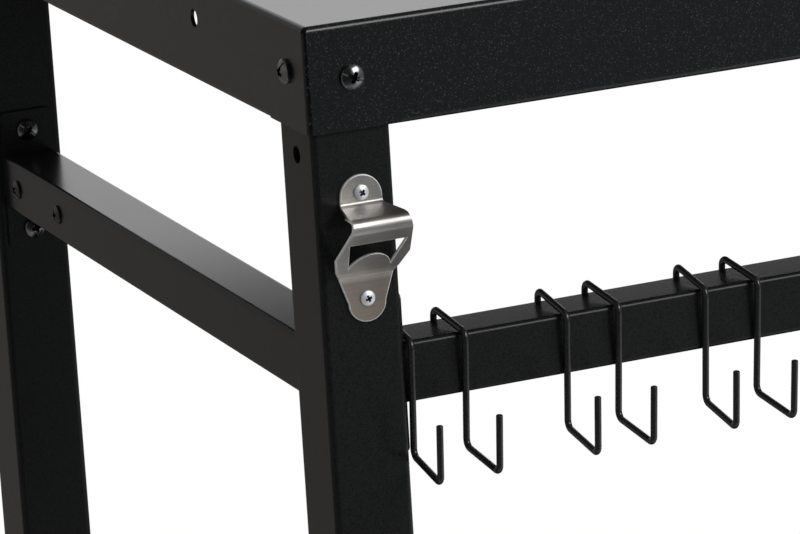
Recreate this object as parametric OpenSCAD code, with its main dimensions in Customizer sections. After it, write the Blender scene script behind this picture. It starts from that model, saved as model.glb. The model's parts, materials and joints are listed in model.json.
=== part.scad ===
// Grill table: a folded sheet worktop on four square tube legs, with a rail of sliding hooks,
// a bottle opener and a lower shelf. Millimetres. X runs left to right along the hook rail's side,
// which is the front, Y runs to the back and Z runs up from the floor.
// The origin lies on the floor, under the middle of the table's overall box.

/* [Worktop] */
// Width of the worktop, left to right
top_w = 900; // [700:10:1200]
// Depth of the worktop, front to back
top_d = 525; // [460:5:700]
// Height of the worktop's upper face above the floor
table_h = 850; // [650:10:950]
// Height of the skirt folded down round the worktop
skirt_h = 52; // [45:0.5:70]
// Thickness of the folded sheet
sheet_t = 2; // [1.5:0.5:2.5]
// Inner radius of the fold between the worktop and its skirt
fold_r = 1; // [0.5:0.5:2]
// Outer radius of the skirt's upright corners
corner_r = 2.5; // [0.5:0.5:3]
// Radius of the relief hole where two folds meet
relief_r = 1.4; // [0.8:0.1:1.6]
// Width of the lip turned in under the skirt
lip_w = 12; // [8:1:16]
// Gap along the skirt between a leg and the end of a lip
lip_gap = 5; // [3:1:10]
// How much lower the turned lip hangs than the skirt's plain ends
lip_step = 0.7; // [0.3:0.1:1.5]
// Diameter of the accessory holes in the side skirts
skirt_hole_d = 9; // [8:0.5:11]
// Distance between the two accessory holes of a side skirt
skirt_hole_pitch = 242; // [160:2:300]
// Height of those holes above the skirt's lower edge
skirt_hole_up = 32; // [25:1:36]

/* [Legs] */
// Outer width of a leg's square tube
leg_w = 40; // [36:1:50]
// Wall of the leg tube
leg_wall = 1.5; // [1:0.5:2.5]
// Outer corner radius of the leg tube
leg_r = 3; // [2.5:0.5:4]
// Diameter of the accessory hole in a leg's outer side
leg_hole_d = 8.5; // [6:0.5:11]
// How far that hole lies below the skirt
leg_hole_drop = 12.5; // [12:0.5:30]

/* [Rails] */
// Outer width of a rail's square tube
rail_w = 30; // [26:1:34]
// Wall of the rail tube
rail_wall = 1.5; // [1:0.5:2]
// Outer corner radius of the rail tube
rail_r = 2.5; // [2:0.5:3]
// Drop from the skirt's lower edge to the rails' upper face
rail_drop = 107.5; // [101:0.5:160]

/* [Brackets] */
// Height of a bracket's plate
plate_h = 78; // [76:1:90]
// Thickness of a bracket's plate
plate_t = 2; // [2:0.5:4]
// Corner radius of a bracket's plate
plate_r = 3; // [1:0.5:5]
// Height of the plate's screws above and below the rail's middle
plate_screw_up = 28; // [27:0.5:30]
// Length of the tongue that goes into the rail
tongue_l = 110; // [105:1:140]
// Thickness of the tongue's sheet
tongue_t = 2.5; // [2:0.5:3]
// Distance from the leg to the first screw through a rail
rail_screw_in = 23; // [18:1:30]
// Distance between the two screws through a rail's end
rail_screw_pitch = 66; // [50:1:70]

/* [Bottle opener] */
// Height of the opener's top end below the skirt
opener_drop = 21; // [18:1:26]
// How far right of the leg's middle the opener sits
opener_shift = 2.3; // [0:0.1:4]
// Thickness of the opener's sheet
opener_t = 1.8; // [1.5:0.1:2.5]
// Width of the opener's upper tab
opener_tab_w = 21.2; // [18:0.2:26]
// Height of the opener's upper tab
opener_tab_h = 15; // [14:0.5:18]
// How far the opener's lip stands out from the leg
opener_out = 26; // [22:0.5:32]
// Drop of the shelf from the leg out to the lip
opener_slope = 1.7; // [1:0.1:4]
// Radius of the lip's bend, at the middle of the sheet
opener_lip_r = 3.5; // [3:0.1:5]
// Radius of the bends at the leg, at the middle of the sheet
opener_bend_r = 2.6; // [2:0.1:3]
// Width of the opener across its lip
opener_lip_w = 28.5; // [26:0.5:34]
// Width of the opener at its widest
opener_w = 37.5; // [35:0.5:44]
// Width of the opener at its lower bend
opener_foot_w = 28.2; // [26:0.2:32]
// Height of the opener's sloping face
opener_face_h = 31.5; // [30:0.5:38]
// Height of the opener's lower tab
opener_foot_h = 23; // [20:0.5:28]
// Radius of the lower tab's round end
opener_foot_r = 9.5; // [8:0.5:12]
// Width of the mouth at its upper edge
mouth_w = 28.6; // [24:0.2:29]
// Width of the mouth at its lower corners
mouth_low_w = 21.4; // [18:0.2:23]
// Drop from the lower corners' height to the opener's lower bend
mouth_up = 5.6; // [5:0.2:8]
// Height of the mouth
mouth_h = 14; // [12:0.2:15]
// How far the tooth stands up into the mouth
tooth_h = 7; // [6:0.2:8]

/* [Hooks] */
// Diameter of the hooks' wire
wire_d = 3.3; // [3:0.1:4]
// How much wider than the rail a hook's inside is
hook_slack = 3; // [2:0.5:4]
// Length of a hook's stem, at the wire's middle
hook_stem = 58; // [54:0.5:75]
// Length of a hook's foot that runs out to the front
hook_foot = 37; // [28:0.5:45]
// Length of a hook's upturned tip
hook_tip = 29.5; // [20:0.5:40]
// Length of a hook's short end behind the rail
hook_tail = 12; // [8:0.5:14]
// Radius of the wire's bends, at the wire's middle
hook_bend_r = 4; // [3:0.5:5]
// Distance between the two hooks of a pair
hook_pitch = 28; // [24:0.2:34]
// Gap between the hook rail's left bracket and the first hook's wire
first_hook = 0.1; // [0.1:0.1:16]

/* [Lower shelf] */
// Height of the lower shelf's upper face above the floor
shelf_h = 180; // [120:5:300]
// Height of the skirt folded down round the lower shelf
shelf_skirt_h = 30; // [26:1:40]
// Width of a stiffener's channel
rib_w = 40; // [30:1:60]
// Depth of a stiffener's channel
rib_h = 20; // [12:1:22]
// Width of each flange beside a stiffener's channel
rib_flange = 12; // [8:1:20]
// Thickness of a stiffener's sheet
rib_t = 1.2; // [1:0.1:2]

/* [Feet] */
// Diameter of a foot's pad
pad_d = 34; // [26:1:38]
// Height of a foot's pad
pad_h = 8; // [6:1:12]
// Diameter of a foot's threaded stud
stud_d = 8; // [6:1:10]
// Length of the stud above its pad
stud_l = 30; // [26:1:40]
// Gap between a foot's pad and the leg's end plug, as it is set
foot_gap = 3; // [2:0.5:10]
// Thickness of the end plug's rim under the leg
plug_rim = 3; // [2:0.5:5]
// Depth of the end plug inside the leg
plug_l = 18; // [14:1:24]

/* [Fasteners] */
// Thread diameter of the frame's screws
screw_d = 6; // [5:1:6]
// Head diameter of the frame's screws
head_d = 12; // [10:0.5:12.5]
// Head height of the frame's screws
head_h = 4; // [3:0.5:5]
// Length of the frame's screws under the head
screw_l = 16; // [14:1:18]
// How much higher the worktop's side screws sit than its front and rear ones
side_screw_rise = 1.6; // [0:0.1:4]
// How much further from the corner than the leg's middle the worktop's screws sit
screw_shift = 1.2; // [0:0.1:3]
// Head diameter of the screws through the rails' ends
rail_head_d = 10.5; // [9:0.5:12]
// Head height of the screws through the rails' ends
rail_head_h = 2.4; // [2:0.2:4]
// Thread diameter of the opener's screws
small_screw_d = 4; // [3:0.5:4]
// Head diameter of the opener's screws
small_head_d = 7.2; // [6:0.2:9]
// Head height of the opener's screws
small_head_h = 2; // [1.8:0.2:3]
// Length of the opener's screws under the head
small_screw_l = 12; // [10:1:14]

/* [Clearances] */
// Gap between a screw's thread and the nut it turns in
thread_fit = 0.1; // [0.05:0.05:0.2]
// Gap round a screw in a plain hole
hole_fit = 0.3; // [0.2:0.1:0.6]
// Gap between a nut's sleeve and the hole it is set in
sleeve_fit = 0.1; // [0.05:0.05:0.2]
// Gap between a tongue or plug and the tube round it
slide_fit = 0.25; // [0.15:0.05:0.4]
// Gap at each place where a hook bears on the rail
hook_play = 0.25; // [0.2:0.05:0.3]
// Gap between a foot's stud and the plug's thread
stud_fit = 0.05; // [0.02:0.01:0.1]

/* [Hidden] */
$fn = 48;
// Steps in a bend that is drawn as flats
bend_steps = 8;
// Run of every cut past the face that it opens
over = 1;

// Wall holes and nuts
hole_r = screw_d / 2 + hole_fit;
thread_r = screw_d / 2 + thread_fit;
small_hole_r = small_screw_d / 2 + hole_fit;
small_thread_r = small_screw_d / 2 + thread_fit;
sleeve_wall_share = 0.45;
dome_share = 0.6;
recess_reach_share = 0.5;
recess_width_share = 0.12;
recess_floor_share = 0.4;
sleeve_r = thread_r + sleeve_wall_share * screw_d / 2;
small_sleeve_r = small_thread_r + sleeve_wall_share * small_screw_d / 2;
bulge_share = 0.3;
nut_depth_share = 0.8;
weld_nut_share = 0.8;

// Inner corners as shares of a tube's wall and of the skirt's corner
tube_round_share = 0.5;
skirt_round_share = 0.5;
// Place of the left stiffener across the worktop, and the pad's edge and crown
stiffener_share = 1 / 3;
pad_edge_share = 0.125;
pad_crown_share = 0.6;

// Heights above the floor
skirt_z = table_h - skirt_h;
screw_z = skirt_z + skirt_h / 2;
side_screw_z = screw_z + side_screw_rise;
rail_z = skirt_z - rail_drop - rail_w / 2;
plug_z = pad_h + foot_gap;
leg_z = plug_z + plug_rim;
leg_top = table_h - sheet_t - fold_r;
shelf_z = shelf_h - shelf_skirt_h;
shelf_screw_z = shelf_z + (shelf_skirt_h - sheet_t) / 2;

// Places in a corner, measured from the skirt's outer corner
leg_mid = sheet_t + leg_w / 2;
leg_end = sheet_t + leg_w;
screw_in = leg_mid + screw_shift;
// Start of a lip, and the height of skirt that is folded with it
lip_in = leg_end + lip_gap;
lip_rise = 2 * (fold_r + sheet_t);

// Opener, measured out from the leg and down from the skirt
opener_x = leg_mid + opener_shift;
opener_z = skirt_z - opener_drop;
upper_screw_z = opener_bend_r + hole_fit + small_head_d / 2 - opener_tab_h;
lip_z = -opener_tab_h - opener_slope;
face_low_z = -opener_tab_h - opener_face_h - opener_slope;
opener_low_z = face_low_z - opener_foot_h;
lower_screw_z = face_low_z - opener_foot_h / 2;
// The shelf and the face meet in a point that the lip's bend rounds off
lip_point_share = 1.13;
lip_point = opener_out * lip_point_share;
mouth_low_z = face_low_z + mouth_up;
mouth_top_z = mouth_low_z + mouth_h;
// Heights of the widest place and of the narrower one below it, as shares of the sloping face
widest_share = 0.66;
narrow_share = 0.9;
narrow_w_share = 0.42;
narrow_w = opener_foot_w + (opener_w - opener_foot_w) * narrow_w_share;
tooth_r = (pow(mouth_low_w / 2, 2) + pow(tooth_h, 2)) / (2 * tooth_h);

// Hooks: each hangs tilted, wedged between three corners of the rail
hook_span = rail_w + hook_slack + wire_d;
flat = rail_w - 2 * rail_r;
hook_tilt = asin((1 + (hook_slack - 2 * hook_play) / flat) / sqrt(2)) - 45;
hook_bear = rail_r + wire_d / 2 + hook_play;
// Middle of the rail's lower front corner, and of the hook's upper front bend
rail_front = leg_mid - rail_w / 2;
low_corner = [rail_front + rail_r, rail_z - rail_w / 2 + rail_r];
along = [cos(hook_tilt), sin(hook_tilt)];
upward = [-sin(hook_tilt), cos(hook_tilt)];
hook_top = low_corner - hook_bear * along + (hook_bear + flat * cos(hook_tilt)) * upward;
hook_end = hook_top - (hook_stem - hook_tip) * upward - hook_foot * along;
// Places of the hooks along the rail, in steps of a pair's distance
hook_place_shares = [0, 1.002, 2.903, 3.887, 5.557, 6.574];
// How far each hook is turned about the upright, as it happens to hang
hook_turns = [-3.8, 0.7, -2.6, 1, -3.6, 1.5];

// The overall box runs from the hooks' tips to the rear screw heads
box_front = hook_end[0] - wire_d / 2 * cos(hook_tilt);
box_rear = top_d + head_h;
origin = [top_w / 2, (box_front + box_rear) / 2];

// Colours as they show
coat = [0.11, 0.11, 0.115];
plastic = [0.07, 0.07, 0.07];
steel = [0.62, 0.6, 0.57];
zinc = [0.8, 0.81, 0.83];

// Places a piece that is drawn from the worktop's front left corner
module placed() {
  translate([-origin[0], -origin[1], 0]) children();
}

// Copies a piece drawn for the front left corner to another corner
module at_corner(right, rear) {
  translate([right ? top_w : 0, rear ? top_d : 0, 0])
    mirror([right ? 1 : 0, 0, 0])
      mirror([0, rear ? 1 : 0, 0])
        children();
}

module at_corners() {
  for (right = [0, 1], rear = [0, 1]) at_corner(right, rear) children();
}

// Turns a piece that faces up, so that it faces a side
module face_front() { rotate([90, 0, 0]) children(); }
module face_rear() { rotate([-90, 0, 0]) children(); }
module face_left() { rotate([0, -90, 0]) children(); }
module face_right() { rotate([0, 90, 0]) children(); }

// Rectangle with round corners, from its lower left corner
module round_rect(w, h, r) {
  translate([r, 0]) square([w - 2 * r, h]);
  translate([0, r]) square([w, h - 2 * r]);
  for (x = [r, w - r], y = [r, h - r]) translate([x, y]) circle(r);
}

// Square tube of outer width w along Z, round its own axis
module tube(w, wall, r, length) {
  linear_extrude(length)
    difference() {
      translate([-w / 2, -w / 2]) round_rect(w, w, r);
      translate([wall - w / 2, wall - w / 2])
        round_rect(w - 2 * wall, w - 2 * wall, r - tube_round_share * wall);
    }
}

// Block with round upper edges and round upright corners
module folded_block(w, d, h, fold, corner) {
  intersection() {
    linear_extrude(h) round_rect(w, d, corner);
    translate([0, d + over, 0]) rotate([90, 0, 0])
      linear_extrude(d + 2 * over) translate([0, -2 * fold]) round_rect(w, h + 2 * fold, fold);
    translate([-over, 0, 0]) rotate([90, 0, 90])
      linear_extrude(w + 2 * over) translate([0, -2 * fold]) round_rect(d, h + 2 * fold, fold);
  }
}

// Hole through one wall, opening at z = 0 and running down
module wall_hole(r, wall) {
  translate([0, 0, -wall - over]) cylinder(r = r, h = wall + 2 * over);
}

// Pan head screw with a cross recess, seated at z = 0 and running down
module screw(d, head, height, length) {
  rise = height * dome_share;
  dome = (pow(head / 2, 2) + pow(rise, 2)) / (2 * rise);
  slot = head * recess_width_share;
  reach = head * recess_reach_share;
  difference() {
    union() {
      intersection() {
        cylinder(d = head, h = height);
        translate([0, 0, height - dome]) sphere(dome);
      }
      translate([0, 0, -length]) cylinder(d = d, h = length);
    }
    for (turn = [0, 90]) rotate(turn)
      translate([-reach / 2, -slot / 2, height * recess_floor_share]) cube([reach, slot, height]);
  }
}

module frame_screw() { screw(screw_d, head_d, head_h, screw_l); }
module rail_screw() { screw(screw_d, rail_head_d, rail_head_h, screw_l); }
module opener_screw() { screw(small_screw_d, small_head_d, small_head_h, small_screw_l); }

// Nut riveted into a tube wall, flush with its outer face
module rivet_nut(bore, sleeve, wall, length) {
  difference() {
    union() {
      translate([0, 0, -length]) cylinder(r = sleeve, h = length);
      translate([0, 0, -wall - bulge_share * length])
        cylinder(r = sleeve * (1 + bulge_share), h = bulge_share * length);
    }
    translate([0, 0, -length - over]) cylinder(r = bore, h = length + 2 * over);
  }
}

module frame_nut() { rivet_nut(thread_r, sleeve_r, leg_wall, nut_depth_share * screw_l); }
module opener_nut() {
  rivet_nut(small_thread_r, small_sleeve_r, leg_wall, nut_depth_share * small_screw_l);
}

// Middle line of a bent strip: each entry is a point and the strip's direction across it
function unit(v) = v / norm(v);
function side(v) = [-v[1], v[0]];
function turned(v, a) = [v[0] * cos(a) - v[1] * sin(a), v[0] * sin(a) + v[1] * cos(a)];
function turn(a, b, c) =
  let (u = unit(b - a), v = unit(c - b)) atan2(u[0] * v[1] - u[1] * v[0], u * v);
function bend(a, b, c, r) =
  let (u = unit(b - a), angle = turn(a, b, c), way = sign(angle),
       start = b - u * r * tan(abs(angle) / 2), middle = start + way * r * side(u))
  [for (i = [0 : bend_steps])
     let (across = turned(side(u), angle * i / bend_steps)) [middle - way * r * across, across]];
function strip_line(p, r) = concat(
  [[p[0], side(unit(p[1] - p[0]))]],
  [for (i = [1 : len(p) - 2]) each bend(p[i - 1], p[i], p[i + 1], r[i - 1])],
  [[p[len(p) - 1], side(unit(p[len(p) - 1] - p[len(p) - 2]))]]);

// Flat outline of a strip of thickness t that follows the points p, bent to the radii r
module strip(p, r, t) {
  line = strip_line(p, r);
  n = len(line);
  polygon(concat(
    [for (s = line) s[0] + s[1] * t / 2],
    [for (i = [1 : n]) line[n - i][0] - line[n - i][1] * t / 2]));
}

// Round wire that follows the points p in a plane, with every bend at radius r
module wire(p, r, d) {
  last = len(p) - 1;
  cut = [for (i = [0 : last]) i == 0 || i == last ? 0 : r * tan(abs(turn(p[i - 1], p[i], p[i + 1])) / 2)];
  for (i = [0 : last - 1]) {
    u = unit(p[i + 1] - p[i]);
    start = p[i] + u * cut[i];
    length = norm(p[i + 1] - p[i]) - cut[i] - cut[i + 1];
    translate([start[0], start[1], 0]) rotate([0, 90, atan2(u[1], u[0])]) cylinder(d = d, h = length);
  }
  for (i = [1 : last - 1]) {
    u = unit(p[i] - p[i - 1]);
    angle = turn(p[i - 1], p[i], p[i + 1]);
    middle = p[i] - u * cut[i] + sign(angle) * r * side(u);
    first = -sign(angle) * side(u);
    translate([middle[0], middle[1], 0])
      rotate(atan2(first[1], first[0]) + min(angle, 0))
        rotate_extrude(angle = abs(angle)) translate([r, 0]) circle(d = d);
  }
}

// Lower end of a skirt with its lip turned in, from the skirt's outer face, along +X
module lip(length) {
  rotate([90, 0, 90]) linear_extrude(length) intersection() {
    square([lip_w, lip_rise]);
    difference() {
      round_rect(2 * lip_w, 2 * lip_rise, fold_r + sheet_t);
      translate([sheet_t, sheet_t]) round_rect(2 * lip_w, 2 * lip_rise, fold_r);
    }
  }
}

// Worktop: a sheet with its four skirts folded down, lips turned in under them
module worktop() {
  inner_w = top_w - 2 * sheet_t;
  inner_d = top_d - 2 * sheet_t;
  color(coat) placed() {
    difference() {
      translate([0, 0, skirt_z]) folded_block(top_w, top_d, skirt_h, fold_r + sheet_t, corner_r);
      translate([sheet_t, sheet_t, skirt_z - sheet_t])
        folded_block(inner_w, inner_d, skirt_h, fold_r, corner_r * skirt_round_share);
      at_corners() {
        translate([-over, -over, skirt_z - over]) cube([lip_in + over, lip_in + over, lip_step + over]);
        translate([relief_r, relief_r, table_h - fold_r - sheet_t])
          cylinder(r = relief_r, h = fold_r + sheet_t + over);
        translate([screw_in, 0, screw_z]) face_front() wall_hole(hole_r, sheet_t);
        translate([0, screw_in, side_screw_z]) face_left() wall_hole(hole_r, sheet_t);
        translate([0, (top_d - skirt_hole_pitch) / 2, skirt_z + skirt_hole_up])
          face_left() wall_hole(skirt_hole_d / 2, sheet_t);
      }
      for (y = [0, top_d]) translate([lip_in, y - sheet_t - over, skirt_z - over])
        cube([top_w - 2 * lip_in, 2 * (sheet_t + over), lip_rise + over]);
      for (x = [0, top_w]) translate([x - sheet_t - over, lip_in, skirt_z - over])
        cube([2 * (sheet_t + over), top_d - 2 * lip_in, lip_rise + over]);
    }
    for (rear = [0, 1]) at_corner(0, rear) translate([lip_in, 0, skirt_z]) lip(top_w - 2 * lip_in);
    for (right = [0, 1]) at_corner(right, 0) translate([0, lip_in, skirt_z])
      mirror([1, -1, 0]) lip(top_d - 2 * lip_in);
  }
}

// Hat-shaped stiffener under a sheet, from its middle, hanging down from z = 0
module hat(length) {
  web = rib_w / 2 + rib_t;
  outline = [
    [-web - rib_flange, -rib_t / 2], [-web, -rib_t / 2], [-web, rib_t / 2 - rib_h],
    [web, rib_t / 2 - rib_h], [web, -rib_t / 2], [web + rib_flange, -rib_t / 2],
  ];
  translate([0, length / 2, 0]) rotate([90, 0, 0])
    linear_extrude(length) strip(outline, [rib_t, rib_t, rib_t, rib_t], rib_t);
}

module top_stiffener(right) {
  in = top_w * stiffener_share;
  color(coat) placed()
    translate([right ? top_w - in : in, top_d / 2, table_h - sheet_t])
      hat(top_d - 2 * (sheet_t + fold_r + lip_w));
}

module shelf_stiffener() {
  color(coat) placed()
    translate([top_w / 2, top_d / 2, shelf_h - sheet_t])
      hat(top_d - 2 * (2 * sheet_t + lip_gap));
}

// Leg: an upright tube with holes for the nuts set in its walls
module leg(right, rear) {
  nut_hole = sleeve_r + sleeve_fit;
  small_nut_hole = small_sleeve_r + sleeve_fit;
  color(coat) placed() at_corner(right, rear) difference() {
    translate([leg_mid, leg_mid, leg_z]) tube(leg_w, leg_wall, leg_r, leg_top - leg_z);
    translate([screw_in, sheet_t, screw_z]) face_front() wall_hole(nut_hole, leg_wall);
    translate([sheet_t, screw_in, side_screw_z]) face_left() wall_hole(nut_hole, leg_wall);
    translate([sheet_t, leg_mid, skirt_z - leg_hole_drop]) face_left() wall_hole(leg_hole_d / 2, leg_wall);
    translate([leg_end, leg_mid, shelf_screw_z]) face_right() wall_hole(nut_hole, leg_wall);
    translate([leg_mid, leg_end, shelf_screw_z]) face_rear() wall_hole(nut_hole, leg_wall);
    for (z = [rail_z - plate_screw_up, rail_z + plate_screw_up]) {
      if (rear) translate([leg_mid, leg_end, z]) face_rear() wall_hole(nut_hole, leg_wall);
      if (!rear) translate([leg_end, leg_mid, z]) face_right() wall_hole(nut_hole, leg_wall);
    }
    if (!rear && !right) at_opener_screws() wall_hole(small_nut_hole, leg_wall);
  }
}

// End of a bracketed rail, drawn with the rail along +X and its screws on the +Y side
module at_side_bracket() {
  for (right = [0, 1])
    placed() at_corner(right, 1) translate([leg_mid, leg_end, rail_z]) rotate(90) children();
}

module at_hook_bracket() {
  for (right = [0, 1]) placed() at_corner(right, 0) translate([leg_end, leg_mid, rail_z]) children();
}

module plate_places() {
  for (z = [-plate_screw_up, plate_screw_up]) translate([plate_t, 0, z]) face_right() children();
}

module rail_screw_places(y) {
  for (x = [rail_screw_in, rail_screw_in + rail_screw_pitch]) translate([x, y, 0]) face_rear() children();
}

// Bracket: a plate on the leg, with a channel welded to it that goes into the rail
module bracket() {
  tongue_w = rail_w - 2 * rail_wall - 2 * slide_fit;
  difference() {
    union() {
      translate([0, -rail_w / 2, -plate_h / 2]) rotate([90, 0, 90])
        linear_extrude(plate_t) round_rect(rail_w, plate_h, plate_r);
      translate([plate_t, 0, 0]) rotate([90, 0, 90]) linear_extrude(tongue_l) difference() {
        translate([-tongue_w / 2, -tongue_w / 2])
          round_rect(tongue_w, tongue_w, rail_r - tube_round_share * rail_wall);
        translate([-tongue_w / 2 - over, tongue_t - tongue_w / 2])
          square([tongue_w - tongue_t + over, tongue_w - 2 * tongue_t]);
      }
    }
    plate_places() wall_hole(hole_r, plate_t);
    rail_screw_places(tongue_w / 2) wall_hole(hole_r, tongue_t);
  }
}

module side_bracket(right) {
  color(coat) placed() at_corner(right, 1) translate([leg_mid, leg_end, rail_z]) rotate(90) bracket();
}

module hook_bracket(right) {
  color(coat) placed() at_corner(right, 0) translate([leg_end, leg_mid, rail_z]) bracket();
}

// Side rail: welded to the front leg, slipped over the rear leg's bracket
module side_rail(right) {
  length = top_d - 2 * leg_end - plate_t;
  color(coat) placed() at_corner(right, 1) translate([leg_mid, leg_end, rail_z]) rotate(90)
    difference() {
      translate([plate_t, 0, 0]) face_right() tube(rail_w, rail_wall, rail_r, length);
      rail_screw_places(rail_w / 2) wall_hole(hole_r, rail_wall);
    }
}

// Hook rail: slipped over a bracket at each end
module hook_rail() {
  length = top_w - 2 * leg_end - 2 * plate_t;
  color(coat) placed() difference() {
    translate([leg_end + plate_t, leg_mid, rail_z]) face_right() tube(rail_w, rail_wall, rail_r, length);
    for (right = [0, 1]) at_corner(right, 0) translate([leg_end, leg_mid, rail_z])
      rail_screw_places(rail_w / 2) wall_hole(hole_r, rail_wall);
  }
}

// Outline of the lower shelf, notched round the legs and drawn in by inset
module shelf_outline(inset) {
  a = sheet_t + inset;
  b = leg_end + inset;
  polygon([
    [b, a], [top_w - b, a], [top_w - b, b], [top_w - a, b], [top_w - a, top_d - b], [top_w - b, top_d - b],
    [top_w - b, top_d - a], [b, top_d - a], [b, top_d - b], [a, top_d - b], [a, b], [b, b],
  ]);
}

module lower_shelf() {
  color(coat) placed() difference() {
    intersection() {
      translate([0, 0, shelf_z]) linear_extrude(shelf_skirt_h) shelf_outline(0);
      translate([sheet_t, sheet_t, shelf_z])
        folded_block(top_w - 2 * sheet_t, top_d - 2 * sheet_t, shelf_skirt_h, fold_r + sheet_t, corner_r);
    }
    translate([0, 0, shelf_z - over]) linear_extrude(shelf_skirt_h - sheet_t + over) shelf_outline(sheet_t);
    at_corners() {
      translate([leg_end + sheet_t, leg_mid, shelf_screw_z]) face_right() wall_hole(hole_r, sheet_t);
      translate([leg_mid, leg_end + sheet_t, shelf_screw_z]) face_rear() wall_hole(hole_r, sheet_t);
    }
  }
}

// Bottle opener: a strip bent out to a lip and back, cut to its outline, with a toothed mouth
module opener_profile() {
  mid = opener_t / 2;
  strip(
    [[mid, 0], [mid, -opener_tab_h], [lip_point, lip_z], [mid, face_low_z], [mid, opener_low_z]],
    [opener_bend_r, opener_lip_r, opener_bend_r], opener_t);
}

// Upper tab seen from the front
module opener_tab_outline() {
  r = opener_tab_w / 2;
  translate([0, -r]) circle(r);
  translate([-opener_lip_w / 2, lip_z - opener_t]) square([opener_lip_w, -lip_z - r]);
  translate([-r, -opener_tab_h]) square([opener_tab_w, opener_tab_h - r]);
}

// Shelf and lip seen from above, measured out from the leg
module opener_shelf_outline() {
  a = opener_tab_w / 2;
  b = opener_lip_w / 2;
  bend_out = opener_out - 2 * opener_lip_r;
  polygon([
    [a, 0], [a, opener_t], [b, bend_out], [b, opener_out + opener_t],
    [-b, opener_out + opener_t], [-b, bend_out], [-a, opener_t], [-a, 0],
  ]);
}

// Face and lower tab seen from the front
module opener_face_outline() {
  a = opener_lip_w / 2;
  b = opener_w / 2;
  c = narrow_w / 2;
  d = opener_foot_w / 2;
  r = opener_foot_r;
  widest_z = lip_z - widest_share * opener_face_h;
  narrow_z = lip_z - narrow_share * opener_face_h;
  polygon([
    [a, lip_z], [b, widest_z], [c, narrow_z], [d, face_low_z], [r, opener_low_z + r],
    [-r, opener_low_z + r], [-d, face_low_z], [-c, narrow_z], [-b, widest_z], [-a, lip_z],
  ]);
  translate([0, opener_low_z + r]) circle(r);
}

module opener_mouth() {
  difference() {
    polygon([
      [-mouth_w / 2, mouth_top_z], [mouth_w / 2, mouth_top_z],
      [mouth_low_w / 2, mouth_low_z], [-mouth_low_w / 2, mouth_low_z],
    ]);
    translate([0, mouth_low_z + tooth_h - tooth_r]) circle(tooth_r);
  }
}

// Stands a shape seen from the front on the opener's place
module opener_front(depth) {
  translate([0, over, 0]) rotate([90, 0, 0]) linear_extrude(depth + over) children();
}

module at_opener() {
  translate([opener_x, sheet_t, opener_z]) children();
}

module at_opener_screws() {
  for (z = [upper_screw_z, lower_screw_z]) at_opener() translate([0, 0, z]) face_front() children();
}

module bottle_opener() {
  reach = opener_out + opener_t;
  high = opener_t - lip_z;
  color(steel) placed() difference() {
    at_opener() intersection() {
      translate([-opener_w / 2, 0, 0]) rotate([90, 0, 90]) mirror([1, 0, 0])
        linear_extrude(opener_w) opener_profile();
      union() {
        intersection() {
          opener_front(reach) opener_tab_outline();
          translate([0, 0, -high]) mirror([0, 1, 0]) linear_extrude(high + over) opener_shelf_outline();
        }
        opener_front(reach) opener_face_outline();
      }
    }
    at_opener() opener_front(reach) opener_mouth();
    at_opener_screws() translate([0, 0, opener_t]) wall_hole(small_hole_r, opener_t);
  }
}

// Hook number i, hanging on the hook rail
module hook(i) {
  x = leg_end + plate_t + first_hook + wire_d / 2 + hook_place_shares[i - 1] * hook_pitch;
  line = [
    [hook_span, -hook_tail], [hook_span, 0], [0, 0], [0, -hook_stem],
    [-hook_foot, -hook_stem], [-hook_foot, hook_tip - hook_stem],
  ];
  color(coat) placed() translate([x, hook_top[0], hook_top[1]]) rotate(hook_turns[i - 1]) rotate([hook_tilt, 0, 0])
    rotate([90, 0, 90]) wire(line, hook_bend_r, wire_d);
}

// Plug in a leg's lower end, with the thread for the foot
module plug(right, rear) {
  w = leg_w - 2 * leg_wall - 2 * slide_fit;
  color(plastic) placed() at_corner(right, rear) translate([leg_mid, leg_mid, plug_z]) difference() {
    union() {
      translate([-leg_w / 2, -leg_w / 2, 0]) linear_extrude(plug_rim) round_rect(leg_w, leg_w, leg_r);
      translate([-w / 2, -w / 2, 0])
        linear_extrude(plug_rim + plug_l) round_rect(w, w, leg_r - tube_round_share * leg_wall);
    }
    translate([0, 0, -over]) cylinder(d = stud_d, h = plug_rim + plug_l + 2 * over);
  }
}

// Foot: a stud that turns in the plug, moulded into a pad
module stud(right, rear) {
  color(zinc) placed() at_corner(right, rear) translate([leg_mid, leg_mid, pad_h / 2])
    cylinder(r = stud_d / 2 - stud_fit, h = pad_h / 2 + stud_l);
}

module pad(right, rear) {
  r = pad_d / 2;
  edge = pad_h * pad_edge_share;
  outline = [
    [0, 0], [r - edge, 0], [r, edge], [r, pad_h / 2], [r * pad_crown_share, pad_h], [0, pad_h],
  ];
  color(plastic) placed() at_corner(right, rear) translate([leg_mid, leg_mid, 0]) difference() {
    rotate_extrude() polygon(outline);
    translate([0, 0, pad_h / 2]) cylinder(r = stud_d / 2 - stud_fit, h = pad_h);
  }
}

// Fasteners, each kind a group of separate pieces
module worktop_screw_places(depth) {
  placed() at_corners() {
    translate([screw_in, depth, screw_z]) face_front() children();
    translate([depth, screw_in, side_screw_z]) face_left() children();
  }
}

module shelf_screw_places(out) {
  placed() at_corners() {
    translate([leg_end + out, leg_mid, shelf_screw_z]) face_right() children();
    translate([leg_mid, leg_end + out, shelf_screw_z]) face_rear() children();
  }
}

module bracket_screw_places() {
  at_side_bracket() plate_places() children();
  at_hook_bracket() plate_places() children();
}

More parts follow.
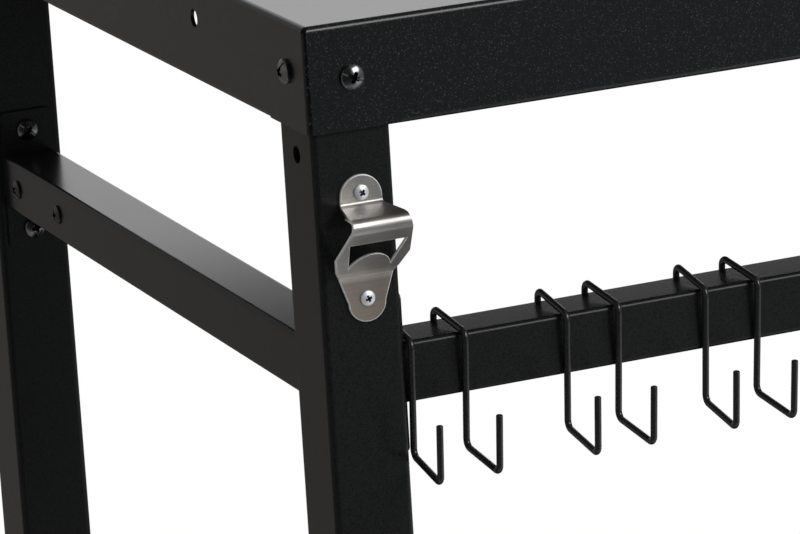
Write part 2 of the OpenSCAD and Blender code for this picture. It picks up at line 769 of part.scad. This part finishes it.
module worktop_screws() { color(plastic) worktop_screw_places(0) frame_screw(); }
module worktop_nuts() { color(zinc) worktop_screw_places(sheet_t) frame_nut(); }
module bracket_screws() { color(plastic) bracket_screw_places() frame_screw(); }
module bracket_nuts() { color(zinc) bracket_screw_places() translate([0, 0, -plate_t]) frame_nut(); }
module shelf_screws() { color(plastic) shelf_screw_places(sheet_t) frame_screw(); }
module shelf_nuts() { color(zinc) shelf_screw_places(0) frame_nut(); }
module opener_screws() {
  color(zinc) placed() at_opener_screws() translate([0, 0, opener_t]) opener_screw();
}
module opener_nuts() { color(zinc) placed() at_opener_screws() opener_nut(); }

module rail_screws() {
  color(plastic) {
    at_side_bracket() rail_screw_places(rail_w / 2) rail_screw();
    at_hook_bracket() rail_screw_places(rail_w / 2) rail_screw();
  }
}

// Hex nut welded behind the tongue's web
module weld_nut() {
  tall = weld_nut_share * screw_d;
  translate([0, 0, -rail_wall - slide_fit - tongue_t - tall]) difference() {
    cylinder(r = screw_d, h = tall, $fn = 6);
    translate([0, 0, -over]) cylinder(r = thread_r, h = tall + 2 * over);
  }
}

module rail_nuts() {
  color(zinc) {
    at_side_bracket() rail_screw_places(rail_w / 2) weld_nut();
    at_hook_bracket() rail_screw_places(rail_w / 2) weld_nut();
  }
}

worktop();
top_stiffener(0);  // top_stiffener_left
top_stiffener(1);  // top_stiffener_right
leg(0, 0);  // leg_front_left
leg(1, 0);  // leg_front_right
leg(0, 1);  // leg_rear_left
leg(1, 1);  // leg_rear_right
side_rail(0);  // side_rail_left
side_rail(1);  // side_rail_right
hook_rail();
side_bracket(0);  // side_bracket_left
side_bracket(1);  // side_bracket_right
hook_bracket(0);  // hook_bracket_left
hook_bracket(1);  // hook_bracket_right
lower_shelf();
shelf_stiffener();
bottle_opener();
hook(1);  // hook_1
hook(2);  // hook_2
hook(3);  // hook_3
hook(4);  // hook_4
hook(5);  // hook_5
hook(6);  // hook_6
plug(0, 0);  // plug_front_left
plug(1, 0);  // plug_front_right
plug(0, 1);  // plug_rear_left
plug(1, 1);  // plug_rear_right
stud(0, 0);  // stud_front_left
stud(1, 0);  // stud_front_right
stud(0, 1);  // stud_rear_left
stud(1, 1);  // stud_rear_right
pad(0, 0);  // pad_front_left
pad(1, 0);  // pad_front_right
pad(0, 1);  // pad_rear_left
pad(1, 1);  // pad_rear_right
worktop_screws();
worktop_nuts();
bracket_screws();
bracket_nuts();
rail_screws();
rail_nuts();
shelf_screws();
shelf_nuts();
opener_screws();
opener_nuts();
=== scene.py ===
"""Looks of the grill table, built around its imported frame."""
import json
from math import pi, radians

import bmesh
import bpy
from mathutils import Matrix, Vector


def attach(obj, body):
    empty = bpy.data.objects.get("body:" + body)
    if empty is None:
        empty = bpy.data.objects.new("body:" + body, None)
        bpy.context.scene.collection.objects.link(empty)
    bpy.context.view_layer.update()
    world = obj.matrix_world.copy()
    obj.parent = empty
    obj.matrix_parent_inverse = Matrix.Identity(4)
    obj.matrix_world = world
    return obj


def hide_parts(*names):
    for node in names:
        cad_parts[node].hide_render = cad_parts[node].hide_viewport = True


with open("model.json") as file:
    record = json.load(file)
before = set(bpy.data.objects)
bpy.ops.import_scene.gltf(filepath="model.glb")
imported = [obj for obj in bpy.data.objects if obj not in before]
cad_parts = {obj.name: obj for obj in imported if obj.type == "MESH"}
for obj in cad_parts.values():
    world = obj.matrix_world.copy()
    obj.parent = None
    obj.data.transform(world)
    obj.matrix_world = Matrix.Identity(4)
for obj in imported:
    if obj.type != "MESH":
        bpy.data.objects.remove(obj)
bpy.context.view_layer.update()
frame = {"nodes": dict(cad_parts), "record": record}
nodes = frame["nodes"]


# Materials

def new_material(name):
    material = bpy.data.materials.new(name)
    material.use_nodes = True
    tree = material.node_tree
    shader = tree.nodes["Principled BSDF"]
    coords = tree.nodes.new("ShaderNodeTexCoord")
    return material, tree, shader, coords.outputs["Object"]


def add(tree, kind, **inputs):
    node = tree.nodes.new(kind)
    for key, value in inputs.items():
        key = key.replace("_", " ")
        if isinstance(value, bpy.types.NodeSocket):
            tree.links.new(value, node.inputs[key])
        else:
            node.inputs[key].default_value = value
    return node


def maths(tree, operation, a, b):
    node = tree.nodes.new("ShaderNodeMath")
    node.operation = operation
    for socket, value in zip(node.inputs, (a, b)):
        if isinstance(value, bpy.types.NodeSocket):
            tree.links.new(value, socket)
        else:
            socket.default_value = value
    return node.outputs[0]


def ramp(tree, source, stops, steps=False):
    node = tree.nodes.new("ShaderNodeValToRGB")
    if steps:
        node.color_ramp.interpolation = "CONSTANT"
    tree.links.new(source, node.inputs["Fac"])
    elements = node.color_ramp.elements
    while len(elements) < len(stops):
        elements.new(0.5)
    for element, (place, colour) in zip(elements, stops):
        element.position = place
        element.color = (*colour, 1)
    return node.outputs["Color"]


def product(tree, first, second):
    node = tree.nodes.new("ShaderNodeMix")
    node.data_type = "RGBA"
    node.blend_type = "MULTIPLY"
    node.inputs[0].default_value = 1.0
    tree.links.new(first, node.inputs[6])
    tree.links.new(second, node.inputs[7])
    return node.outputs[2]


def between(tree, value, low, high):
    """0 where the value is low, 1 where it is high, and even between."""
    reach = tree.nodes.new("ShaderNodeMapRange")
    reach.inputs["From Min"].default_value = low
    reach.inputs["From Max"].default_value = high
    tree.links.new(value, reach.inputs["Value"])
    return reach.outputs["Result"]


def grey(value):
    return (value, value, value)


def shaded(colour, share):
    return tuple(c * share for c in colour)


def spread(tree, source, low, high, edge=0.3):
    """Low up to the edge, high from as far below 1, and even between."""
    return ramp(tree, source, [(edge, low), (1 - edge, high)])


def along(tree, value, low, span, stops):
    """Colours at places along one coordinate, from low over the span."""
    return ramp(tree, between(tree, value, low, low + span), [((at - low) / span, c) for at, c in stops])


def bumped(tree, shader, height, strength, distance):
    bump = add(tree, "ShaderNodeBump", Height=height, Strength=strength, Distance=distance)
    tree.links.new(bump.outputs["Normal"], shader.inputs["Normal"])


def powder_coat(name, colour, roughness, level, flake, peel_strength):
    """Black powder coat: half-millimetre grains, an orange peel and a slow drift in tone and gloss."""
    material, tree, shader, place = new_material(name)
    link = tree.links.new
    grains = add(tree, "ShaderNodeTexVoronoi", Vector=place, Scale=2100.0)
    shade = tree.nodes.new("ShaderNodeSeparateColor")
    link(grains.outputs["Color"], shade.inputs[0])
    grain = ramp(tree, shade.outputs[0], [
        (0.0, grey(0.55)), (0.3, grey(1.0)), (0.8, grey(1.0 + flake)),
        (0.93, grey(1.0 + 3 * flake)), (0.985, grey(1.0 + 7 * flake))], steps=True)
    drift = add(tree, "ShaderNodeTexNoise", Vector=place, Scale=11.0, Detail=3.0).outputs["Fac"]
    tone = spread(tree, drift, shaded(colour, 0.92), colour, edge=0.35)
    link(product(tree, tone, grain), shader.inputs["Base Color"])
    gloss = spread(tree, drift, grey(roughness * 0.97), grey(roughness * 1.03))
    link(gloss, shader.inputs["Roughness"])
    shader.inputs["Specular IOR Level"].default_value = level
    peel = add(tree, "ShaderNodeTexNoise", Vector=place, Scale=380.0, Detail=2.0).outputs["Fac"]
    soft = add(tree, "ShaderNodeBump", Height=peel, Strength=peel_strength, Distance=0.0002)
    hard = add(tree, "ShaderNodeBump", Height=shade.outputs[1], Strength=peel_strength * 0.8,
               Distance=0.00003, Normal=soft.outputs["Normal"])
    link(hard.outputs["Normal"], shader.inputs["Normal"])
    return material


def plated(name, colour, roughness, cloudiness, metal=1.0):
    """Plated steel: nearly even, with a faint cloudiness in its colour and gloss."""
    material, tree, shader, place = new_material(name)
    link = tree.links.new
    cloud = add(tree, "ShaderNodeTexNoise", Vector=place, Scale=420.0, Detail=4.0).outputs["Fac"]
    shader.inputs["Metallic"].default_value = metal
    link(spread(tree, cloud, shaded(colour, 1 - cloudiness), colour), shader.inputs["Base Color"])
    link(spread(tree, cloud, grey(roughness * 0.8), grey(roughness * 1.25)), shader.inputs["Roughness"])
    bumped(tree, shader, cloud, 0.12, 0.00005)
    return material


def brushed(name, colour, roughness, tone_and_highlight_bands, painted_light_across):
    """Stainless strip with a brushed grain along X, bands by height that hold a painted highlight at the
    lower bend, and painted light and shade along X.
    """
    material, tree, shader, place = new_material(name)
    link = tree.links.new
    scaled = add(tree, "ShaderNodeMapping", Vector=place, Scale=(70.0, 3200.0, 3200.0)).outputs["Vector"]
    grain = add(tree, "ShaderNodeTexNoise", Vector=scaled, Scale=1.0, Detail=3.0).outputs["Fac"]
    cloud = add(tree, "ShaderNodeTexNoise", Vector=place, Scale=70.0, Detail=3.0).outputs["Fac"]
    shader.inputs["Metallic"].default_value = 1
    tone = spread(tree, grain, shaded(colour, 0.8), colour, edge=0.25)
    axes = tree.nodes.new("ShaderNodeSeparateXYZ")
    link(place, axes.inputs[0])
    # By height: brownish below about 726 mm, a painted highlight band from 727 to 731 mm. Along X: painted
    # light, brightest at the left end, darker to the right.
    tone_and_highlight = along(tree, axes.outputs["Z"], band_low, band_span, tone_and_highlight_bands)
    lit_across = along(tree, axes.outputs["X"], across_low, across_span, [(x, grey(c)) for x, c in painted_light_across])
    link(product(tree, product(tree, tone, tone_and_highlight), lit_across), shader.inputs["Base Color"])
    link(spread(tree, cloud, grey(roughness * 0.85), grey(roughness * 1.15)), shader.inputs["Roughness"])
    bumped(tree, shader, grain, 0.3, 0.00004)
    return material


def moulded(name, colour):
    """Black moulded plastic with a fine spark-eroded grain."""
    material, tree, shader, place = new_material(name)
    link = tree.links.new
    grain = add(tree, "ShaderNodeTexNoise", Vector=place, Scale=1500.0, Detail=2.0).outputs["Fac"]
    link(spread(tree, grain, shaded(colour, 0.8), colour), shader.inputs["Base Color"])
    shader.inputs["Roughness"].default_value = 0.55
    bumped(tree, shader, grain, 0.2, 0.0002)
    return material


# Start and length, in metres, of the height for the opener's tone and painted highlight bands and of the
# width for its painted light and shade along X
band_low, band_span = 0.7, 0.1
across_low, across_span = -0.45, 0.05

sheet_coat = powder_coat("black_coat_on_sheet", (0.0023, 0.0026, 0.0029), 0.27, 0.48, 2.8, 0.1)
tube_coat = powder_coat("black_coat_on_tube", (0.012, 0.0125, 0.0125), 0.23, 0.19, 0.06, 0.04)
wire_coat = powder_coat("black_coat_on_wire", (0.017, 0.0165, 0.016), 0.27, 0.5, 0.1, 0.02)
black_zinc = plated("black_zinc_plate", (0.25, 0.25, 0.258), 0.21, 0.2)
# A darker copy of the black zinc, used on the rail screws: painted shade.
black_zinc_painted_shade = plated("black_zinc_plate_painted_shade", (0.1, 0.1, 0.103), 0.24, 0.2)
bright_zinc = plated("bright_zinc_plate", (0.88, 0.9, 0.94), 0.4, 0.12, 0.5)
# The opener: a painted highlight band at its lower bend, and painted light and shade along X.
stainless = brushed(
    "brushed_stainless", (0.6, 0.58, 0.555), 0.43,
    tone_and_highlight_bands=[(0.7255, (0.93, 0.83, 0.74)), (0.727, (1.25, 1.22, 1.18)),
           (0.7305, (1.25, 1.23, 1.2)), (0.732, (1.0, 1.0, 1.0))],
    painted_light_across=[(-0.445, 1.3), (-0.437, 1.08), (-0.428, 0.95), (-0.418, 0.75), (-0.41, 0.8)])
# Paler, rougher steel for cut and rounded edges: partly the real sheared edge, partly a painted highlight.
cut_steel_with_painted_highlight = plated("deburred_stainless_painted_highlight", (0.85, 0.84, 0.82), 0.5, 0.2, 0.45)
# Darker platings for the faces inside the screws' recesses: painted shade.
black_zinc_recess_painted_shade = plated("black_zinc_painted_recess_shade", (0.04, 0.04, 0.045), 0.35, 0.2)
bright_zinc_recess_painted_shade = plated("bright_zinc_painted_recess_shade", (0.2, 0.23, 0.3), 0.35, 0.2)
plastic = moulded("black_plastic", (0.02, 0.02, 0.02))

by_slot = {
    "black_coat": tube_coat, "hook_coat": wire_coat, "black_screw": black_zinc,
    "zinc": bright_zinc, "opener_steel": stainless, "black_plastic": plastic,
}
# The rail screws take the darker copy of the black zinc, a painted shade.
own_finish = {"worktop": sheet_coat, "lower_shelf": sheet_coat, "rail_screws": black_zinc_painted_shade}
slot_of = {entry["node"]: entry["material_slot"] for entry in frame["record"]["subparts"]}


def finish_of(node):
    return own_finish.get(node, by_slot[slot_of[node]])


for name in slot_of:
    for place in nodes[name].material_slots:
        place.material = finish_of(name)


# Pieces

def mm(value):
    return value / 1000


def settle(name, bm, body, slot, material, *replaced):
    """Makes a finished piece of a bmesh, with smooth faces that meet sharply at its real edges."""
    mesh = bpy.data.meshes.new(name)
    for face in bm.faces:
        face.smooth = True
    bm.to_mesh(mesh)
    bm.free()
    mesh.set_sharp_from_angle(angle=radians(32))
    mesh.materials.append(material)
    piece = bpy.data.objects.new(name, mesh)
    bpy.context.scene.collection.objects.link(piece)
    even = piece.modifiers.new("even", "WEIGHTED_NORMAL")
    even.weight = 100
    even.keep_sharp = True
    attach(piece, body)
    if replaced:
        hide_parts(*replaced)
    return piece


def merged(node):
    """The node's own shape as a closed mesh, its flat faces whole again."""
    bm = bmesh.new()
    bm.from_mesh(nodes[node].data)
    bmesh.ops.remove_doubles(bm, verts=bm.verts, dist=1e-6)
    bmesh.ops.dissolve_limit(bm, angle_limit=radians(0.2), verts=bm.verts, edges=bm.edges, delimit=set())
    return bm


def sharp_edges(bm, angle):
    return [edge for edge in bm.edges
            if len(edge.link_faces) == 2 and edge.calc_face_angle(0) > radians(angle)]


def rounded(bm, edges, width, segments, clamp=True):
    """Rounds edges of a bmesh and gives the faces that this makes."""
    made = bmesh.ops.bevel(bm, geom=edges, affect="EDGES", offset=width, segments=segments,
                           profile=0.5, material=-1, clamp_overlap=clamp)
    return made["faces"]


def split_large_faces(bm):
    bmesh.ops.triangulate(bm, faces=[face for face in bm.faces if len(face.verts) > 4])


def eased(node, width, body="table", segments=2):
    """The node with its sharp edges rounded as the coating or the deburring leaves them."""
    bm = merged(node)
    rounded(bm, sharp_edges(bm, 35), width, segments)
    split_large_faces(bm)
    return settle(node + "_eased", bm, body, slot_of[node], finish_of(node), node)


def deburred(node, width, lip_low, lip_high):
    """The cut strip with its edges rounded, less so round the lip; its cut and rounded faces take a paler,
    rougher steel that is partly a painted highlight.
    """
    lip_share = 0.4
    side_lean = 0.02
    bm = merged(node)
    # Cut walls and rounded faces take the paler steel, a painted edge highlight.
    for face in bm.faces:
        face.material_index = 1 if abs(face.normal.y) < side_lean else 0
    for at_lip in (False, True):
        edges = [edge for edge in sharp_edges(bm, 40)
                 if at_lip == any(lip_low < point.co.z < lip_high for point in edge.verts)]
        for face in rounded(bm, edges, width * (lip_share if at_lip else 1), 3, clamp=at_lip):
            face.material_index = 1
    split_large_faces(bm)
    piece = settle(node + "_eased", bm, "table", slot_of[node], stainless, node)
    piece.data.materials.append(cut_steel_with_painted_highlight)


def spun(profile):
    """A turned shape about Z from its outline, given as radius and height."""
    bm = bmesh.new()
    points = [bm.verts.new((radius, 0, height)) for radius, height in profile]
    edges = [bm.edges.new(pair) for pair in zip(points, points[1:])]
    bmesh.ops.spin(bm, geom=points + edges, cent=(0, 0, 0), axis=(0, 0, 1), angle=2 * pi,
                   steps=40, use_merge=True)
    bmesh.ops.remove_doubles(bm, verts=bm.verts, dist=1e-7)
    bmesh.ops.recalc_face_normals(bm, faces=bm.faces)
    return bm


def dome(width, height, rim):
    """Outline of a pan head's crown, from its middle out to its rim."""
    rise = height - rim
    radius = (width * width / 4 + rise * rise) / (2 * rise)
    steps = 8
    crown_share = 0.985
    points = []
    for step in range(steps + 1):
        out = width / 2 * step / steps * crown_share
        points.append((out, height - radius + (radius * radius - out * out) ** 0.5))
    return points


def threaded(size, pitch, low, high):
    """Outline of a thread's ridges, without their helix, from high down to low."""
    points = []
    turns = int((high - low) / pitch)
    for turn in range(turns):
        z = high - turn * pitch
        points += [(size / 2 - pitch * 0.5, z), (size / 2, z - pitch * 0.4), (size / 2, z - pitch * 0.55)]
    return points, high - turns * pitch


def wedge(length, width, low_length, low_width, low, high):
    """One tapered bar of a recess cutter."""
    bm = bmesh.new()
    bmesh.ops.create_cube(bm, size=1)
    for point in bm.verts:
        top = point.co.z > 0
        point.co.x *= length if top else low_length
        point.co.y *= width if top else low_width
        point.co.z = high if top else low
    return bm


def cut(bm, cutters, ease):
    """Cuts closed shapes out of a closed shape and rounds the new edges."""
    mesh = bpy.data.meshes.new("blank")
    bm.to_mesh(mesh)
    bm.free()
    blank = bpy.data.objects.new("blank", mesh)
    bpy.context.scene.collection.objects.link(blank)
    tools = []
    for cutter in cutters:
        tool_mesh = bpy.data.meshes.new("cutter")
        cutter.to_mesh(tool_mesh)
        cutter.free()
        tool = bpy.data.objects.new("cutter", tool_mesh)
        bpy.context.scene.collection.objects.link(tool)
        difference = blank.modifiers.new("cut", "BOOLEAN")
        difference.operation = "DIFFERENCE"
        difference.solver = "EXACT"
        difference.object = tool
        tools.append(tool)
    rounding = blank.modifiers.new("round", "BEVEL")
    rounding.width = ease
    rounding.segments = 2
    rounding.limit_method = "ANGLE"
    rounding.angle_limit = radians(38)
    result = bmesh.new()
    bpy.context.view_layer.update()
    shaped = blank.evaluated_get(bpy.context.evaluated_depsgraph_get())
    result.from_mesh(shaped.to_mesh())
    shaped.to_mesh_clear()
    for item in [blank] + tools:
        data = item.data
        bpy.data.objects.remove(item)
        bpy.data.meshes.remove(data)
    return result


def pan_head_screw(size, width, height, length, pitch, slotted):
    """Pan head screw, seated at z = 0: crown, rim, ridged shank, cross recess, and a slot if slotted."""
    rim = height * 0.4
    outline = dome(width, height, rim)
    edge = width / 2
    outline += [(edge, rim - edge * 0.03), (edge, edge * 0.04), (edge * 0.97, 0)]
    thread, z = threaded(size, pitch, -length + pitch, -pitch * 0.6)
    root = size / 2 - pitch * 0.5
    outline += [(root, 0)] + thread
    outline += [(root, z), (size / 2 - pitch * 0.7, -length), (0, -length)]
    bm = spun([(mm(r), mm(z)) for r, z in outline])
    reach = width * 0.5
    wing = width * 0.17
    floor = -height * 0.1
    top = height * 1.2
    low_reach = reach * 0.7
    low_wing = wing * 0.8
    cutters = [wedge(mm(a), mm(b), mm(c), mm(d), mm(floor), mm(top)) for a, b, c, d in
               ((reach, wing, low_reach, low_wing), (wing, reach, low_wing, low_reach))]
    if slotted:
        slot_floor = height * 0.36
        cutters.append(wedge(mm(width * 0.97), mm(width * 0.085), mm(width * 0.93), mm(width * 0.065),
                             mm(slot_floor), mm(top)))
    head = cut(bm, cutters, mm(width * 0.014))
    deepest = mm(-height * 0.15)
    highest = mm(height * 0.75)
    furthest = mm(width * 0.27)
    # Faces inside the recess take the second, darker material: painted shade.
    for face in head.faces:
        middle = face.calc_center_median()
        in_recess_shade = deepest < middle.z < highest and middle.xy.length < furthest
        face.material_index = 1 if in_recess_shade else 0
    return head


def islands(bm):
    """The separate solids of a merged node, each as a list of its vertices."""
    left = set(bm.verts)
    found = []
    while left:
        stack = [left.pop()]
        island = list(stack)
        while stack:
            for edge in stack.pop().link_edges:
                for point in edge.verts:
                    if point in left:
                        left.remove(point)
                        stack.append(point)
                        island.append(point)
        found.append(island)
    return found


def screw_seats(node):
    """Where each screw of a node sits and which way its head faces."""
    head_share = 0.42
    bm = bmesh.new()
    bm.from_mesh(nodes[node].data)
    bmesh.ops.remove_doubles(bm, verts=bm.verts, dist=1e-6)
    seats = []
    for island in islands(bm):
        low = [min(point.co[i] for point in island) for i in range(3)]
        high = [max(point.co[i] for point in island) for i in range(3)]
        axis = max(range(3), key=lambda i: high[i] - low[i])
        middle = Vector([(a + b) / 2 for a, b in zip(low, high)])
        width = max(high[i] - low[i] for i in range(3) if i != axis)
        wide = [point.co[axis] for point in island
                if max(abs(point.co[i] - middle[i]) for i in range(3) if i != axis) > width * head_share]
        outward = 1 if sum(wide) / len(wide) > middle[axis] else -1
        ahead = Vector([outward if i == axis else 0 for i in range(3)])
        seat = middle.copy()
        seat[axis] = min(wide) if outward > 0 else max(wide)
        seats.append((seat, ahead))
    bm.free()
    return sorted(seats, key=lambda pair: tuple(round(value, 4) for value in pair[0]))


def screws(node, blank, recess, first_turns):
    """Puts a copy of the blank on every seat of the node, each stopped at its own angle."""
    whole = bmesh.new()
    for number, (seat, ahead) in enumerate(screw_seats(node)):
        copy = blank.copy()
        up = Vector((0, 0, 1))
        frame_of_head = Matrix((up.cross(ahead), up, ahead)).transposed().to_4x4()
        turn = first_turns.get(number, (37 * number + 14) % 180 - 90)
        copy.transform(Matrix.Translation(seat) @ frame_of_head @ Matrix.Rotation(radians(turn), 4, "Z"))
        shape = bpy.data.meshes.new("screw")
        copy.to_mesh(shape)
        copy.free()
        whole.from_mesh(shape)
        bpy.data.meshes.remove(shape)
    piece = settle(node + "_turned", whole, "table", slot_of[node], finish_of(node), node)
    # The second material is the painted shade inside the recess.
    piece.data.materials.append(recess)


# Widths of the rounded edges, and the heights between which the opener's lip lies
sheet_edge, wire_edge, plate_edge = mm(0.45), mm(0.45), mm(0.3)
rail_edge, leg_edge, plastic_edge, opener_edge = mm(0.2), mm(0.25), mm(0.5), mm(0.5)
lip_low, lip_high = mm(753), mm(766)

for node in ("worktop", "lower_shelf"):
    eased(node, sheet_edge, segments=3)
for side in ("left", "right"):
    eased("side_bracket_" + side, plate_edge)
    eased("hook_bracket_" + side, plate_edge)
    eased("side_rail_" + side, rail_edge)
    for end in ("front", "rear"):
        corner = end + "_" + side
        eased("leg_" + corner, leg_edge)
        eased("plug_" + corner, plastic_edge)
        eased("pad_" + corner, plastic_edge, body="foot_" + corner)
eased("hook_rail", rail_edge)
deburred("bottle_opener", opener_edge, lip_low, lip_high)
for number in range(1, 7):
    eased("hook_%d" % number, wire_edge, body="hook_%d" % number, segments=3)

frame_screw = pan_head_screw(size=6, width=12, height=4, length=16, pitch=1, slotted=True)
screws("worktop_screws", frame_screw, black_zinc_recess_painted_shade, {0: 60, 2: -24})
for node in ("bracket_screws", "shelf_screws"):
    screws(node, frame_screw, black_zinc_recess_painted_shade, {})
frame_screw.free()
rail_screw = pan_head_screw(size=6, width=10.5, height=2.4, length=16, pitch=1, slotted=True)
screws("rail_screws", rail_screw, black_zinc_recess_painted_shade, {})
rail_screw.free()
small_screw = pan_head_screw(size=4, width=7.2, height=2, length=12, pitch=0.7, slotted=False)
screws("opener_screws", small_screw, bright_zinc_recess_painted_shade, {0: 20, 1: 52})
small_screw.free()


# Stage, light and camera

def ray_share(tree, **kinds):
    """Strength seen by each kind of ray: the most of the kinds that a ray is."""
    path = tree.nodes.new("ShaderNodeLightPath")
    total = None
    for kind, strength in kinds.items():
        share = maths(tree, "MULTIPLY", path.outputs["Is %s Ray" % kind.capitalize()], strength)
        total = share if total is None else maths(tree, "MAXIMUM", total, share)
    return total


def facing(tree, direction, towards, low, high):
    """How far a direction, taken level, points towards another: 0 up to a cosine of low, 1 from high on."""
    level = tree.nodes.new("ShaderNodeVectorMath")
    level.operation = "MULTIPLY"
    tree.links.new(direction, level.inputs[0])
    level.inputs[1].default_value = (1, 1, 0)
    unit = tree.nodes.new("ShaderNodeVectorMath")
    unit.operation = "NORMALIZE"
    tree.links.new(level.outputs[0], unit.inputs[0])
    dot = tree.nodes.new("ShaderNodeVectorMath")
    dot.operation = "DOT_PRODUCT"
    tree.links.new(unit.outputs[0], dot.inputs[0])
    dot.inputs[1].default_value = Vector((*towards, 0)).normalized()
    return between(tree, dot.outputs["Value"], low, high)


def dimmed(tree, direction):
    """Share of light that a mirror sees in a level direction: the studio's dark side is a black gap."""
    dark = maths(tree, "MULTIPLY", facing(tree, direction, (-0.99, -0.14), -0.05, 0.05),
                 facing(tree, direction, (0.14, -0.99), 0.1, 0.45))
    return maths(tree, "SUBTRACT", 1.0, maths(tree, "MULTIPLY", dark, 0.9))


def backdrop_material():
    """Pale floor: shadows close by, white to the camera far off, and to gloss a tone by direction."""
    near_start, near_end, near_gain = 2.2, 1.25, 2.6
    material, tree, shader, place = new_material("pale_floor")
    link = tree.links.new
    shader.inputs["Base Color"].default_value = (0.8, 0.8, 0.8, 1)
    shader.inputs["Roughness"].default_value = 0.9
    shader.inputs["Specular IOR Level"].default_value = 0.1
    length = tree.nodes.new("ShaderNodeVectorMath")
    length.operation = "LENGTH"
    link(place, length.inputs[0])
    far = between(tree, length.outputs["Value"], 0.6, 1.05)
    white = tree.nodes.new("ShaderNodeEmission")
    link(ray_share(tree, camera=1.0, transmission=1.0), white.inputs["Strength"])
    mirrored = tree.nodes.new("ShaderNodeEmission")
    front = facing(tree, place, (0.39, -0.92), -0.3, 0.3)
    link(ramp(tree, front, [(0, (0.21, 0.2, 0.19)), (1, (0.25, 0.265, 0.27))]), mirrored.inputs["Color"])
    near = maths(tree, "MULTIPLY", between(tree, length.outputs["Value"], near_start, near_end), front)
    level = maths(tree, "ADD", 1.0, maths(tree, "MULTIPLY", near, near_gain))
    seen = maths(tree, "MULTIPLY", ray_share(tree, glossy=1.0), level)
    link(maths(tree, "MULTIPLY", seen, dimmed(tree, place)), mirrored.inputs["Strength"])
    both = tree.nodes.new("ShaderNodeAddShader")
    link(white.outputs[0], both.inputs[0])
    link(mirrored.outputs[0], both.inputs[1])
    mix = tree.nodes.new("ShaderNodeMixShader")
    link(maths(tree, "MULTIPLY", far, ray_share(tree, camera=1.0, glossy=1.0, transmission=1.0)),
         mix.inputs["Fac"])
    link(shader.outputs["BSDF"], mix.inputs[1])
    link(both.outputs[0], mix.inputs[2])
    link(mix.outputs["Shader"], tree.nodes["Material Output"].inputs["Surface"])
    return material


def make_floor():
    bm = bmesh.new()
    bmesh.ops.create_circle(bm, cap_ends=True, segments=96, radius=30)
    mesh = bpy.data.meshes.new("floor")
    bm.to_mesh(mesh)
    bm.free()
    floor = bpy.data.objects.new("floor", mesh)
    bpy.context.scene.collection.objects.link(floor)
    mesh.materials.append(backdrop_material())


def make_world():
    """Soft even light: camera rays see white, and gloss sees a studio brightest low down and behind."""
    world = bpy.data.worlds.new("studio")
    world.use_nodes = True
    bpy.context.scene.world = world
    tree = world.node_tree
    link = tree.links.new
    soft = tree.nodes["Background"]
    soft.inputs["Color"].default_value = (1, 1, 1, 1)
    soft.inputs["Strength"].default_value = 0.35
    white = tree.nodes.new("ShaderNodeBackground")
    white.inputs["Color"].default_value = (1, 1, 1, 1)
    coords = tree.nodes.new("ShaderNodeTexCoord")
    direction = coords.outputs["Generated"]
    height = tree.nodes.new("ShaderNodeSeparateXYZ")
    link(direction, height.inputs[0])
    low = between(tree, height.outputs["Z"], 0.56, 0.36)
    behind = facing(tree, direction, (0.4, 0.917), 0.86, 0.98)
    lower = maths(tree, "ADD", 0.15, maths(tree, "MULTIPLY", behind, 0.7))
    bright = maths(tree, "ADD", 0.15, maths(tree, "MULTIPLY", low, lower))
    mirror = maths(tree, "MULTIPLY", bright, dimmed(tree, direction))
    strength = maths(tree, "MAXIMUM", ray_share(tree, camera=1.0, transmission=1.0),
                     maths(tree, "MULTIPLY", ray_share(tree, glossy=1.0), mirror))
    link(strength, white.inputs["Strength"])
    mix = tree.nodes.new("ShaderNodeMixShader")
    link(ray_share(tree, camera=1.0, glossy=1.0, transmission=1.0), mix.inputs["Fac"])
    link(soft.outputs["Background"], mix.inputs[1])
    link(white.outputs["Background"], mix.inputs[2])
    link(mix.outputs["Shader"], tree.nodes["World Output"].inputs["Surface"])


def softbox(name, place, aim, size, power):
    light = bpy.data.lights.new(name, "AREA")
    light.shape = "RECTANGLE"
    light.size, light.size_y = size
    light.energy = power
    lamp = bpy.data.objects.new(name, light)
    bpy.context.scene.collection.objects.link(lamp)
    lamp.location = place
    lamp.rotation_euler = (Vector(aim) - Vector(place)).to_track_quat("-Z", "Y").to_euler()
    lamp.visible_camera = False


make_floor()
make_world()
softbox("front_softbox", (1.3, -2.2, 2.55), (-0.2, -0.25, 0.8), (2.2, 1.3), 63)
softbox("back_softbox", (1.3, 4.2, 1.9), (0, 0, 0.8), (4.0, 1.6), 9)

camera_data = bpy.data.cameras.new("camera")
camera_data.sensor_width = 36
camera_data.lens = 220.5493
camera_data.clip_end = 100
camera = bpy.data.objects.new("camera", camera_data)
bpy.context.scene.collection.objects.link(camera)
camera.location = (-1.25921, -2.29618, 1.330904)
camera.rotation_euler = (radians(74.80468), radians(3.38126), radians(-23.47266))
bpy.context.scene.camera = camera
bpy.context.scene.view_settings.view_transform = "Standard"
